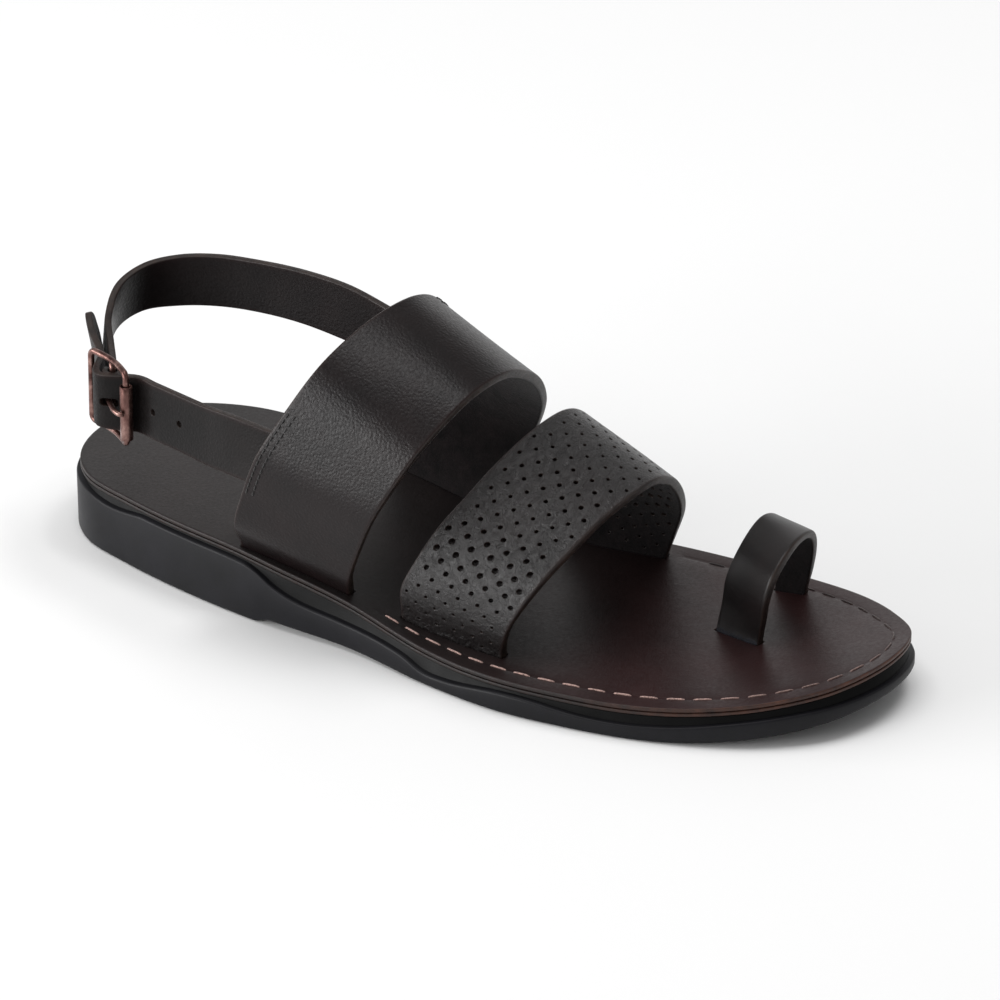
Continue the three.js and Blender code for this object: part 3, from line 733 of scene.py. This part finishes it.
def roughed_foot(name, dark, light, rough, reach):
    """Smooth leather whose first few millimetres are roughed up, as where a strap leaves its slot."""
    material, shader, where = textured(name, specular_ior_level=0.36)
    flat = add_node(material, "ShaderNodeUVMap", uv_map="flat").outputs["UV"]
    along = add_node(material, "ShaderNodeSeparateXYZ", {"Vector": flat}).outputs["X"]
    ragged = noise(material, where, 900, 3, 0.7)
    edge = add_node(material, "ShaderNodeMath", {0: ragged, 1: 0.004, 2: along}, operation="MULTIPLY_ADD")
    limits = {"Value": edge.outputs["Value"], "From Min": reach, "From Max": reach + 0.002}
    smooth = smooth_range(material, limits)
    cloud = noise(material, where, 38, 4, 0.6)
    face = ramp(material, cloud, [(0.35, dark), (0.7, light)])
    nap = noise(material, where, 1500, 5, 0.85)
    fuzz = ramp(material, nap, [(0.35, (0.001, 0.001, 0.0015)), (0.62, (0.02, 0.021, 0.03))])
    link(material, blend_color(material, smooth, fuzz, face), shader, "Base Color")
    link(material, ramp(material, smooth, [(0, grey(0.85)), (1, grey(rough))]), shader, "Roughness")
    height = blend_color(material, smooth, nap, ramp(material, nap, [(0, grey(0.5)), (1, grey(0.62))]))
    add_bump(material, shader, [(height, 0.8, 0.0006)])
    return material


def rubber(name, dark, light, gloss=0.3):
    """Moulded rubber with a fine matte skin and faint scuffs."""
    material, shader, where = textured(name, specular_ior_level=gloss)
    cloud = noise(material, where, 60, 4, 0.6)
    link(material, ramp(material, cloud, [(0.35, dark), (0.7, light)]), shader, "Base Color")
    skin = noise(material, where, 2200, 3, 0.6)
    scuff = noise(material, where, 25, 6, 0.75, 0.4)
    spread = blend_color(material, 0.5, ramp(material, skin, [(0.3, grey(0.42)), (0.7, grey(0.52))]),
                         ramp(material, scuff, [(0.35, grey(0.38)), (0.7, grey(0.58))]))
    link(material, spread, shader, "Roughness")
    add_bump(material, shader, [(skin, 0.3, 0.0001)])
    return material


def thread(name, dark, light, pale=None):
    """Twisted waxed thread, paler where its tint says so."""
    material, shader, where = textured(name, 0.6, sheen_weight=0.15)
    fuzz = noise(material, where, 2600, 3, 0.7)
    color = ramp(material, fuzz, [(0.3, dark), (0.7, light)])
    if pale is not None:
        share = add_node(material, "ShaderNodeAttribute", attribute_name="tint").outputs["Fac"]
        color = blend_color(material, share, color, ramp(material, fuzz, [(0.3, light), (0.62, pale)]))
    link(material, color, shader, "Base Color")
    add_bump(material, shader, [(fuzz, 0.6, 0.0002)])
    return material


def bronze(name):
    """Antique copper plating, rubbed bright in places and dark in the pits."""
    material, shader, where = textured(name, metallic=0.95)
    cloud = noise(material, where, 210, 5, 0.65, 0.4)
    stops = [(0.3, (0.05, 0.022, 0.02)), (0.5, (0.17, 0.09, 0.078)), (0.74, (0.42, 0.27, 0.235))]
    link(material, ramp(material, cloud, stops), shader, "Base Color")
    pits = noise(material, where, 1400, 4, 0.7)
    link(material, ramp(material, pits, [(0.3, grey(0.24)), (0.7, grey(0.46))]), shader, "Roughness")
    add_bump(material, shader, [(cloud, 0.15, 0.00015), (pits, 0.2, 0.00008)])
    return material


def plain(name, color, roughness):
    material, shader = new_material(name, roughness)
    shader.inputs["Base Color"].default_value = (*color, 1)
    return material


STRAP_FACE = leather("strap_face", (0.004, 0.0026, 0.0028), (0.0095, 0.0058, 0.0058), 0.36, 0.25)
BILLET_FACE = leather("billet_face", (0.003, 0.0023, 0.0023), (0.007, 0.005, 0.0048), 0.42, 0.15)
VAMP_FACE = leather("vamp_face", (0.0055, 0.0042, 0.0042), (0.0115, 0.0085, 0.0085), 0.33, 0.5, 0.6)
LOOP_FACE = roughed_foot("loop_face", (0.004, 0.003, 0.0032), (0.009, 0.006, 0.006), 0.36, 0.0065)
FOOTBED_FACE = insole("footbed_face", (0.013, 0.0095, 0.0092), (0.02, 0.0072, 0.0072), 0.42)
CUT_EDGE = raw_edge("cut_edge", (0.006, 0.0035, 0.0032), (0.028, 0.016, 0.012))
# The sole's edge: its last colour is a painted highlight towards the toe, where the edge curves up into the
# light
SOLE_EDGE = raw_edge("sole_edge", (0.004, 0.0025, 0.0022), (0.016, 0.0065, 0.005), (0.085, 0.03, 0.016))
FLESH = suede("flesh_side", (0.002, 0.0014, 0.0016), (0.013, 0.0085, 0.009))
RUBBER = rubber("sole_rubber", (0.0035, 0.0034, 0.0046), (0.0075, 0.0073, 0.0098), 0.22)
# Darker, less glossy rubber for the recessed band: painted shade under the overhanging leather layers
RECESS_SHADE = rubber("recessed_rubber_painted_shade", (0.0015, 0.0015, 0.0015), (0.004, 0.004, 0.0042), 0.12)
SEAM_THREAD = thread("seam_thread", (0.004, 0.003, 0.003), (0.022, 0.012, 0.011), (0.62, 0.4, 0.35))
DARK_THREAD = thread("dark_thread", (0.0018, 0.0014, 0.0014), (0.007, 0.005, 0.005))
BRONZE = bronze("antique_bronze")


# Straps

# Soft hollows and swellings left by wear: place along and across the strap, reach both ways, height
INSTEP_RELIEF = [
    (52, 20, 7, 26, -0.5), (70, 30, 8, 22, 0.35), (24, 30, 9, 14, -0.35), (88, 8, 10, 14, -0.3),
    (112, 24, 16, 18, 0.3), (150, 16, 14, 16, -0.3),
]
VAMP_RELIEF = [
    (22, 26, 8, 16, -0.3), (36, 10, 9, 12, 0.25), (52, 24, 7, 18, -0.4), (66, 30, 8, 12, 0.35),
    (84, 8, 10, 12, -0.3), (104, 22, 14, 16, 0.25),
]
LOOP_RELIEF = [(14, 4, 5, 6, -0.2), (26, 12, 5, 7, 0.25), (36, 3, 6, 6, -0.25), (60, 10, 8, 8, 0.2)]


def relief(rows):
    """Height of the soft hollows and swellings over a strap's face."""
    def height(along, across):
        parts = [h * bump(along, a, reach) * bump(across, c, wide) for a, c, reach, wide, h in rows]
        return np.sum(parts, axis=0)
    return height


instep = wide_strap(INSTEP, relief(INSTEP_RELIEF))
vamp = wide_strap(VAMP, relief(VAMP_RELIEF))
toe_loop = wide_strap(TOE_LOOP, relief(LOOP_RELIEF))
heel_strap = narrow_strap(instep, INNER_TAB, HEEL_STRAP)
billet = narrow_strap(instep, OUTER_TAB, BILLET)


def strap_piece(name, strap, thickness, node, holes=(), hole_levels=None, step=2.0, trim=TRIM, tip=0.0,
                face=STRAP_FACE, radius=0.7):
    outline = rectangle((trim, 0), (strap.length - (0 if tip else trim), strap.width), 1.6, tip)
    hole_levels = hole_levels or punched(thickness, 0.15)
    return plate(name, outline, list(holes), rounded(thickness, radius), hole_levels, strap.place, step,
                 node=node, slot="strap_leather", materials=[face, CUT_EDGE, FLESH])


# Buckle's place, shared by the straps that meet it

rear, front = np.array(REAR_BAR, float), np.array(FRONT_BAR, float)
LONG = float(np.linalg.norm(front - rear))
ahead = (front - rear) / LONG
upward = np.array([0, 0, 1.0]) - ahead * ahead[2]
upward /= np.linalg.norm(upward)
outward = np.cross(ahead, upward)


def on_buckle(along, high, out=0.0):
    return rear + ahead * along + upward * high + outward * out


def bow_at(along):
    return -BOW * math.sin(math.pi * min(max(along, 0), LONG) / LONG)


def crossing(strap, path, depth):
    """Flat point where a path passes through a strap at a depth under its face."""
    along = np.linspace(0, strap.length, 500)
    flat = np.column_stack([along, np.full(500, strap.width / 2)])
    face = strap.place(flat, depth)
    gap = np.linalg.norm(face[:, None] - path[None], axis=2)
    return flat[np.unravel_index(np.argmin(gap), gap.shape)[0]]


pin_path = catmull([on_buckle(*row) for row in PRONG], np.linspace(0, 1, 80))
pin_slot = long_hole(crossing(billet, pin_path, NARROW / 2), 5.6, 1.35)
billet_holes = [circle((billet.at(t), billet.width / 2), 1.05, 16) for t in BILLET_HOLES]

# Fold of the heel strap round the middle bar: from its inside round the front and back over the outside
FOLD = {"half": 8.6, "radius": WIRE + PLAY + NARROW - 0.1, "thickness": 1.9, "from": -148, "to": 172}
turn = np.radians(np.linspace(FOLD["from"], FOLD["to"], 25))


def fold_edge(high):
    along = CENTRE_AT + FOLD["radius"] * np.cos(turn)
    out = bow_at(CENTRE_AT) + FOLD["radius"] * np.sin(turn)
    return [on_buckle(a, high, b) for a, b in zip(along, out)]


fold = Strap(fold_edge(-FOLD["half"]), fold_edge(FOLD["half"]))
fold_slot = long_hole((fold.length * 0.47, fold.width / 2), 9.5, 1.9)

strap_piece("instep_strap", instep, WIDE, "upper_instep_and_heel")
strap_piece("toe_loop", toe_loop, LOOP, "upper_toe_loop", face=LOOP_FACE)
strap_piece("heel_strap", heel_strap, NARROW, "upper_instep_and_heel", trim=0.0, radius=0.5)
strap_piece("heel_strap_fold", fold, FOLD["thickness"], "upper_instep_and_heel", [fold_slot], step=1.2,
            trim=0.0, radius=0.4)
strap_piece("billet", billet, NARROW, "upper_instep_and_heel", [*billet_holes, pin_slot], trim=0.0, tip=5.0,
            face=BILLET_FACE, radius=0.5)

# Perforations of the vamp strap: a lattice of holes whose size swells and fades along the strap
LATTICE = {"pitch": 6.4, "turn": math.radians(-6.4), "anchor": (33, 10)}
EDGE_ROOM = 1.6
LEAST_HOLE = 0.4

# Bands of larger holes: how much larger, how far from the strap's end, how wide
LOW_BAND, HIGH_BAND = (0.56, 35, 13), (0.34, 66, 11)


def hole_radius(along, across):
    near_end = min(along, vamp.length - along)
    low, high = (more * bump(near_end, at, reach) for more, at, reach in (LOW_BAND, HIGH_BAND))
    return LEAST_HOLE + low + high * (0.4 + 0.6 * across / vamp.width)


def perforations():
    pitch, turn = LATTICE["pitch"], LATTICE["turn"]
    ahead = np.array([math.cos(turn), math.sin(turn)]) * pitch
    aside = np.array([-math.sin(turn), math.cos(turn)]) * pitch
    loops = []
    for i in range(-30, 31):
        for j in range(-12, 13):
            for shift in (0, 0.5):
                centre = LATTICE["anchor"] + (i + shift) * ahead + (j + shift) * aside
                radius = hole_radius(*centre)
                room = EDGE_ROOM + radius
                if room < centre[1] < vamp.width - room and 6 < centre[0] < vamp.length - 6:
                    loops.append(circle(centre, radius, 12))
    return loops


strap_piece("perforated_strap", vamp, WIDE, "upper_vamp_strap", perforations(), punched(WIDE, 0.2),
            step=1.5, face=VAMP_FACE)


# Sole

def sole_place(flat, height):
    return np.column_stack([flat, height(flat[:, 1])])


def under(top, levels):
    """Levels of a layer of the sole, as heights under its top."""
    return [(out, lambda y, d=depth: top(y) - d, band) for out, depth, band in levels]


def sole_holes(height):
    ends = [(instep, WIDE), (vamp, WIDE), (toe_loop, LOOP)]
    return [slot_loop(strap, thick, height, end) for strap, thick in ends for end in (0, 1)]


SEAM_INSET = [(0, 4.1), (0.08, 5.4), (0.15, 5.9), (0.3, 6.3), (0.5, 5.8), (0.62, 4.7), (0.75, 6), (1, 6.2)]
SEAM_START, SEAM_END = 129.5, 183
STITCH = {"pitch": 7.8, "length": 6.1, "radius": 0.3}
CHANNEL = {"depth": 0.22, "half": 0.7}


def footbed_seam():
    """The line of the footbed's stitches, from the outer side round the toe to the inner side."""
    ring = OUTLINE_RING
    first = int(np.argmax((ring[:, 0] > 0) & (ring[:, 1] > SEAM_START)))
    last = int(np.flatnonzero((ring[:, 0] < 0) & (ring[:, 1] > SEAM_END))[-1])
    share = np.linspace(0, 1, last - first + 1)
    inset = np.interp(share, *np.array(SEAM_INSET).T)
    side = shifted(ring, 1.0) - ring
    line = ring[first : last + 1] - side[first : last + 1] * inset[:, None]
    return evenly(line, 400)


seam_line = footbed_seam()
seam_side = np.gradient(seam_line, axis=0)
seam_side = np.column_stack([seam_side[:, 1], -seam_side[:, 0]])
seam_side /= np.linalg.norm(seam_side, axis=1)[:, None]
channel = np.vstack([seam_line + seam_side * off for off in (-1.3, -0.65, 0, 0.65, 1.3)])


def footbed_face(flat, height):
    """The footbed with a shallow channel pressed along its stitches."""
    points = sole_place(flat, height)
    points[:, 2] -= CHANNEL["depth"] * bump(nearest(flat, seam_line), 0, CHANNEL["half"])
    return points


def midsole_top(y):
    return footbed_top(y) - FOOTBED - SEAM


plate("footbed_leather", OUTLINE_RING, sole_holes(lambda y: footbed_top(y) - FOOTBED / 2),
      under(footbed_top, rounded(FOOTBED, 0.45)), under(footbed_top, punched(FOOTBED, 0.15)), footbed_face,
      3.5, channel, node="footbed", slot="footbed_leather", materials=[FOOTBED_FACE, SOLE_EDGE, FLESH])
plate("midsole_leather", OUTLINE_RING, sole_holes(lambda y: midsole_top(y) - MIDSOLE / 2),
      under(midsole_top, rounded(MIDSOLE, 0.35)), under(midsole_top, punched(MIDSOLE, 0.1)), sole_place,
      6.0, node="midsole", slot="leather_edge", materials=[SOLE_EDGE, SOLE_EDGE, SOLE_EDGE])


TREAD_LINES = {"pitch": 7.5, "first": 12, "last": 262, "inset": 7, "slope": 0.28, "depth": 0.8}
TREAD_WALLS = (-1.3, -0.8, 0.8, 1.3)
ARCH = (84, 154)


def tread_lines():
    """Chevron grooves over the heel and the forefoot, as points along each line."""
    lines = []
    across = np.arange(-60, 60, 2.0)
    for y in np.arange(TREAD_LINES["first"], TREAD_LINES["last"], TREAD_LINES["pitch"]):
        line = np.column_stack([across, y + TREAD_LINES["slope"] * np.abs(across)])
        held = inside(line, shifted(OUTLINE_RING, -TREAD_LINES["inset"]))
        held &= (line[:, 1] < ARCH[0]) | (line[:, 1] > ARCH[1])
        lines.append(line[held])
    return np.vstack(lines)


tread_middle = tread_lines()
tread_walls = np.vstack([tread_middle + (0, off) for off in TREAD_WALLS])


def underside(y):
    """The lowest level of the rubber, the one that the grooves are pressed into."""
    return tread_height(y)


def rubber_place(flat, height):
    """A level of the rubber; the lowest one has its grooves pressed in."""
    points = sole_place(flat, height)
    if height is underside:
        gap = nearest(flat, tread_middle)
        points[:, 2] += TREAD_LINES["depth"] * (1 - smoothstep(gap, 0.95, 1.45))
    return points


def rubber_levels():
    """The rubber from its top over the recessed band, the ledge and the proud wall to the tread."""
    def ledge(drop):
        return lambda y: np.minimum(ledge_height(y), rubber_top(y) - 0.5) - drop

    def tread(rise):
        return lambda y: tread_height(y) + rise

    core = -5.0
    rows = [
        (core, rubber_top), (-WAIST_IN - 0.35, rubber_top), (-WAIST_IN, lambda y: rubber_top(y) - 0.25),
        (-WAIST_IN, ledge(-0.15)), (-WAIST_IN + 0.2, ledge(-0.04)), (WALL_OUT - 0.6, ledge(0.05)),
        (WALL_OUT - 0.2, ledge(0.25)), (WALL_OUT, ledge(0.8)), (WALL_OUT, tread(1.0)),
        (WALL_OUT - 0.25, tread(0.35)), (WALL_OUT - 0.9, tread(0)), (core, underside),
    ]
    # Bands 1 to 3, round the recessed band, take the darker rubber: painted shade under the overhanging
    # leather layers
    bands = [0, 1, 1, 1] + [0] * (len(rows) - 4)
    return [(out, height, band) for (out, height), band in zip(rows, bands)]


plate("rubber_outsole", OUTLINE_RING, [], rubber_levels(), [], rubber_place, 4.0, tread_walls,
      node="outsole", slot="rubber", materials=[RUBBER, RECESS_SHADE, RUBBER])


# Stitches

PROUD, SINK = 0.55, 0.7


def stitches(line, facing, pitch, length, radius):
    """Short bent threads along a line in space, standing a little proud of the face."""
    run = run_along(line)
    parts = []
    for start in np.arange(0.5, run[-1] - length, pitch):
        at = np.linspace(start, start + length, 9)
        path = np.column_stack([np.interp(at, run, line[:, k]) for k in range(3)])
        face = np.column_stack([np.interp(at, run, facing[:, k]) for k in range(3)])
        share = np.linspace(-1, 1, 9)
        lift = radius * PROUD - (SINK + radius) * np.abs(share) ** 8
        path = path + face * lift[:, None]
        radii = radius * (1 + 0.05 * rng.standard_normal()) * np.sqrt(1 - 0.5 * np.abs(share) ** 6)
        parts.append(sweep(path, radii, 8, face[4]))
    return parts


def sewn(name, parts, material, node, slot, tint=None):
    points, faces = gathered(parts)
    return make_piece(name, points, faces, [material], node, slot, tint=tint)


# How pale the thread is along the seam, as shares from its start to its end: pale along the outer side,
# darkening round the toe to the inner side
PALE_ALONG_SEAM = [(0, 1), (0.4, 0.85), (0.52, 0.4), (0.6, 0.35), (0.68, 0.08), (1, 0)]
seam_points = footbed_face(seam_line, footbed_top)
seam_facing = np.tile([0.0, 0.0, 1.0], (len(seam_line), 1))
seam_parts = stitches(seam_points, seam_facing, **STITCH)
pale_share = np.interp(np.linspace(0, 1, len(seam_parts)), *np.array(PALE_ALONG_SEAM).T)
pale_share = np.repeat(pale_share, [len(points) for points, _ in seam_parts])
sewn("footbed_stitches", seam_parts, SEAM_THREAD, "footbed", "footbed_leather", pale_share)

# Two rows near the rear edge of the instep strap hold each narrow strap under it
SEW = {"pitch": 2.2, "length": 1.7, "radius": 0.24}
SEW_ROWS = (1.5, 3.6)
SEW_SPANS = {"outer": (0.215, 0.36), "inner": (0.63, 0.8)}


def strap_seam(strap, across, from_t, to_t):
    along = np.linspace(strap.at(from_t), strap.at(to_t), 120)
    flat = np.column_stack([along, np.full(120, across)])
    face = strap.place(flat, 0.0)
    return face, face - strap.place(flat, 1.0)


for side, span in SEW_SPANS.items():
    parts = []
    for across in SEW_ROWS:
        parts += stitches(*strap_seam(instep, across, *span), **SEW)
    sewn(f"instep_stitches_{side}", parts, DARK_THREAD, "upper_instep_and_heel", "strap_leather")


# Buckle

def buckle_frame():
    half = TALL / 2 - WIRE
    loop = []
    corners = [(LONG, -half), (LONG, half), (0, half), (0, -half)]
    centres = [(LONG - CORNER, -half + CORNER), (LONG - CORNER, half - CORNER), (CORNER, half - CORNER),
               (CORNER, -half + CORNER)]
    for number, (along, high) in enumerate(centres):
        start = -math.pi / 2 + number * math.pi / 2
        for turn in np.linspace(start, start + math.pi / 2, 9):
            loop.append((along + CORNER * math.cos(turn), high + CORNER * math.sin(turn)))
        if number in (1, 3):
            stop = centres[(number + 1) % 4][0]
            for share in np.linspace(0, 1, 14)[1:-1]:
                loop.append((along + (stop - along) * share, corners[number][1]))
    path = [on_buckle(along, high, bow_at(along)) for along, high in loop]
    middle = [on_buckle(CENTRE_AT, high, bow_at(CENTRE_AT)) for high in np.linspace(-half, half, 8)]
    return gathered([sweep(path, WIRE, 20, outward, closed=True), sweep(middle, WIRE, 20, outward)])


def roller():
    """A rolled tube, open at both ends, with rounded lips."""
    reach = TALL / 2 - WIRE - CORNER
    low, high = -reach, reach - ROLLER_DROP
    profile = [
        (low + 0.15, ROLLER - 0.55), (low, ROLLER - 0.35), (low + 0.05, ROLLER - 0.12),
        (low + 0.25, ROLLER), (high - 0.25, ROLLER), (high - 0.05, ROLLER - 0.12),
        (high, ROLLER - 0.35), (high - 0.15, ROLLER - 0.55),
    ]
    sides, points = 36, []
    for height, radius in profile:
        for k in range(sides):
            turn = 2 * math.pi * k / sides
            along, out = radius * math.cos(turn), radius * math.sin(turn)
            points.append(on_buckle(LONG + along, height, out))
    return np.array(points), [face[::-1] for face in tube_faces(len(profile), sides, True)]


def prong():
    path = catmull([on_buckle(*row) for row in PRONG], np.linspace(0, 1, 26))
    radii = np.interp(np.linspace(0, 1, 26), [0, 0.85, 0.96, 1], [0.85, 0.8, 0.6, 0.25])
    pin = sweep(path, radii, 16, upward)
    turn = np.linspace(0, 2 * math.pi, 28, endpoint=False)
    sink, radius = bow_at(CENTRE_AT), WIRE + PLAY + 0.5
    eye = [on_buckle(CENTRE_AT + radius * math.cos(a), 0, sink + radius * math.sin(a)) for a in turn]
    return gathered([pin, sweep(eye, 0.5, 12, upward, closed=True)])


for name, build, node in (
    ("buckle_wire", buckle_frame, "buckle_frame"),
    ("buckle_tube", roller, "buckle_roller"),
    ("buckle_pin", prong, "buckle_prong"),
):
    points, faces = build()
    make_piece(name, points, faces, [BRONZE], node, "bronze")


# Camera, floor and light

CAMERA = {"azimuth": 121.567, "elevation": 27.352, "distance": 1.7667, "lens": 216.05}
TARGET = metres((-2.869, 141.826, 33.728))
FLOOR = 4.0
WORLD = 0.38

# Softboxes: azimuth, elevation, distance, size, brightness, seen in reflections or not
SOFTBOXES = {
    "overhead": (35, 78, 1.5, (0.75, 0.75), 4.2, True),
    "low_side": (45, 13, 1.5, (1.5, 0.5), 9.0, True),
    "backdrop": (290, 14, 1.7, (1.8, 0.7), 0.8, True),
    "floor_wash": (240, 70, 2.2, (1.0, 1.0), 5.7, False),
}


def direction(azimuth, elevation):
    a, e = math.radians(azimuth), math.radians(elevation)
    return Vector((math.sin(a) * math.cos(e), -math.cos(a) * math.cos(e), math.sin(e)))


def add_camera():
    data = bpy.data.cameras.new("camera")
    data.sensor_width, data.lens = 36, CAMERA["lens"]
    camera = bpy.data.objects.new("camera", data)
    back = direction(CAMERA["azimuth"], CAMERA["elevation"])
    camera.location = Vector(TARGET) + back * CAMERA["distance"]
    camera.rotation_mode = "QUATERNION"
    camera.rotation_quaternion = (-back).to_track_quat("-Z", "Y")
    bpy.context.scene.collection.objects.link(camera)
    bpy.context.scene.camera = camera


def add_floor():
    mesh = bpy.data.meshes.new("floor")
    corners = [(-FLOOR, -FLOOR, 0), (FLOOR, -FLOOR, 0), (FLOOR, FLOOR, 0), (-FLOOR, FLOOR, 0)]
    mesh.from_pydata(corners, [], [(0, 1, 2, 3)])
    mesh.materials.append(plain("floor_white", grey(0.86), 0.8))
    floor = bpy.data.objects.new("floor", mesh)
    bpy.context.scene.collection.objects.link(floor)


def add_softbox(name, azimuth, elevation, distance, size, brightness, glossy):
    """A square-on light whose brightness is told by the white of the floor."""
    data = bpy.data.lights.new(name, "AREA")
    data.shape, data.size, data.size_y = "RECTANGLE", size[0], size[1]
    data.energy = brightness * math.pi * size[0] * size[1]
    light = bpy.data.objects.new(name, data)
    towards = direction(azimuth, elevation)
    light.location = Vector(TARGET) + towards * distance
    light.rotation_mode = "QUATERNION"
    light.rotation_quaternion = (-towards).to_track_quat("-Z", "Y")
    light.visible_glossy = glossy
    bpy.context.scene.collection.objects.link(light)


def add_world(strength):
    world = bpy.data.worlds.new("studio")
    world.use_nodes = True
    background = world.node_tree.nodes["Background"]
    background.inputs["Color"].default_value = (1, 1, 1, 1)
    background.inputs["Strength"].default_value = strength
    bpy.context.scene.world = world


add_camera()
add_floor()
add_world(WORLD)
for name, settings in SOFTBOXES.items():
    add_softbox(name, *settings)
bpy.context.scene.view_settings.view_transform = "Standard"
